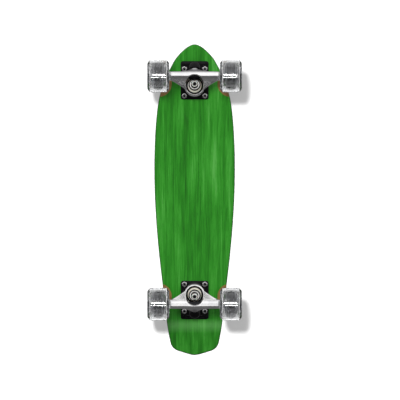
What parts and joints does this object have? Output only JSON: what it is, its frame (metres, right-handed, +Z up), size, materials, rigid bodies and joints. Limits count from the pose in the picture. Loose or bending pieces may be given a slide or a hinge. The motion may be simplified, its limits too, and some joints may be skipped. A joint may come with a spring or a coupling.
{
  "type": "skateboard",
  "caption": "Short cruiser skateboard with a green stained wooden deck, kicktail and wheel wells, steering trucks and clear soft wheels on ball bearings.",
  "frame": {"origin": "on the ground, under the middle of the board's box, with the board standing on its four wheels", "axes": "+X towards the nose, +Y to the rider's left along the axles, +Z up"},
  "size_m": [0.625, 0.1886, 0.1177],
  "materials": {
    "deck_wood": "stained maple veneer, satin lacquer",
    "grip_abrasive": "grit sheet, matt",
    "painted_casting": "black powder coat on a casting",
    "cast_aluminium": "tumbled and polished casting",
    "plated_steel": "zinc plated",
    "bolt_steel": "zinc plated",
    "axle_steel": "hardened and ground",
    "spacer_aluminium": "turned",
    "bearing_steel": "ground and polished",
    "shield_steel": "pressed sheet",
    "cage_plastic": "moulded nylon",
    "bushing_urethane": "cast urethane",
    "pivot_plastic": "moulded",
    "wheel_urethane": "clear cast urethane, gloss",
    "core_plastic": "moulded nylon"
  },
  "bodies": {
    "deck": {"deck": "deck_wood", "grip_tape": "grip_abrasive", "front_baseplate": "painted_casting", "front_pivot_cup": "pivot_plastic", "front_kingpin": "plated_steel", "front_kingpin_nut": "plated_steel", "front_boardside_bushing": "bushing_urethane", "front_roadside_bushing": "bushing_urethane", "front_boardside_washer": "plated_steel", "front_roadside_washer": "plated_steel", "front_mounting_bolts": "bolt_steel", "front_mounting_nuts": "bolt_steel", "rear_baseplate": "painted_casting", "rear_pivot_cup": "pivot_plastic", "rear_kingpin": "plated_steel", "rear_kingpin_nut": "plated_steel", "rear_boardside_bushing": "bushing_urethane", "rear_roadside_bushing": "bushing_urethane", "rear_boardside_washer": "plated_steel", "rear_roadside_washer": "plated_steel", "rear_mounting_bolts": "bolt_steel", "rear_mounting_nuts": "bolt_steel"},
    "front_truck": {"front_hanger": "cast_aluminium", "front_axle": "axle_steel", "front_speed_washers": "axle_steel", "front_bearing_spacers": "spacer_aluminium", "front_axle_nuts": "bolt_steel", "front_inner_races": "bearing_steel"},
    "rear_truck": {"rear_hanger": "cast_aluminium", "rear_axle": "axle_steel", "rear_speed_washers": "axle_steel", "rear_bearing_spacers": "spacer_aluminium", "rear_axle_nuts": "bolt_steel", "rear_inner_races": "bearing_steel"},
    "front_left_wheel": {"front_left_tyre": "wheel_urethane", "front_left_core": "core_plastic", "front_left_outer_races": "bearing_steel", "front_left_bearing_shields": "shield_steel"},
    "front_right_wheel": {"front_right_tyre": "wheel_urethane", "front_right_core": "core_plastic", "front_right_outer_races": "bearing_steel", "front_right_bearing_shields": "shield_steel"},
    "rear_left_wheel": {"rear_left_tyre": "wheel_urethane", "rear_left_core": "core_plastic", "rear_left_outer_races": "bearing_steel", "rear_left_bearing_shields": "shield_steel"},
    "rear_right_wheel": {"rear_right_tyre": "wheel_urethane", "rear_right_core": "core_plastic", "rear_right_outer_races": "bearing_steel", "rear_right_bearing_shields": "shield_steel"},
    "front_left_balls": {"front_left_bearing_balls": "bearing_steel", "front_left_bearing_cages": "cage_plastic"},
    "front_right_balls": {"front_right_bearing_balls": "bearing_steel", "front_right_bearing_cages": "cage_plastic"},
    "rear_left_balls": {"rear_left_bearing_balls": "bearing_steel", "rear_left_bearing_cages": "cage_plastic"},
    "rear_right_balls": {"rear_right_bearing_balls": "bearing_steel", "rear_right_bearing_cages": "cage_plastic"}
  },
  "joints": [
    {"name": "front_steer", "type": "hinge", "parent": "deck", "child": "front_truck", "pos_m": [0.2274, 0, 0.0545], "axis": [0.9239, 0, 0.3827], "range_deg": [-15, 15], "stiffness_Nm_per_rad": 40, "deforming": ["front_boardside_bushing", "front_roadside_bushing"]},
    {"name": "rear_steer", "type": "hinge", "parent": "deck", "child": "rear_truck", "pos_m": [-0.1884, 0, 0.0545], "axis": [-0.9239, 0, 0.3827], "range_deg": [-15, 15], "stiffness_Nm_per_rad": 40, "deforming": ["rear_boardside_bushing", "rear_roadside_bushing"]},
    {"name": "front_left_spin", "type": "hinge", "parent": "front_truck", "child": "front_left_wheel", "pos_m": [0.2471, 0.0725, 0.0325], "axis": [0, 1, 0], "continuous": true},
    {"name": "front_right_spin", "type": "hinge", "parent": "front_truck", "child": "front_right_wheel", "pos_m": [0.2471, -0.0725, 0.0325], "axis": [0, 1, 0], "continuous": true},
    {"name": "rear_left_spin", "type": "hinge", "parent": "rear_truck", "child": "rear_left_wheel", "pos_m": [-0.2081, 0.0725, 0.0325], "axis": [0, 1, 0], "continuous": true},
    {"name": "rear_right_spin", "type": "hinge", "parent": "rear_truck", "child": "rear_right_wheel", "pos_m": [-0.2081, -0.0725, 0.0325], "axis": [0, 1, 0], "continuous": true},
    {"name": "front_left_balls_roll", "type": "hinge", "parent": "front_truck", "child": "front_left_balls", "pos_m": [0.2471, 0.0725, 0.0325], "axis": [0, 1, 0], "continuous": true},
    {"name": "front_right_balls_roll", "type": "hinge", "parent": "front_truck", "child": "front_right_balls", "pos_m": [0.2471, -0.0725, 0.0325], "axis": [0, 1, 0], "continuous": true},
    {"name": "rear_left_balls_roll", "type": "hinge", "parent": "rear_truck", "child": "rear_left_balls", "pos_m": [-0.2081, 0.0725, 0.0325], "axis": [0, 1, 0], "continuous": true},
    {"name": "rear_right_balls_roll", "type": "hinge", "parent": "rear_truck", "child": "rear_right_balls", "pos_m": [-0.2081, -0.0725, 0.0325], "axis": [0, 1, 0], "continuous": true}
  ],
  "couplings": [
    {"joint": "front_left_balls_roll", "follows": "front_left_spin", "ratio": 0.62806},
    {"joint": "front_right_balls_roll", "follows": "front_right_spin", "ratio": 0.62806},
    {"joint": "rear_left_balls_roll", "follows": "rear_left_spin", "ratio": 0.62806},
    {"joint": "rear_right_balls_roll", "follows": "rear_right_spin", "ratio": 0.62806}
  ]
}
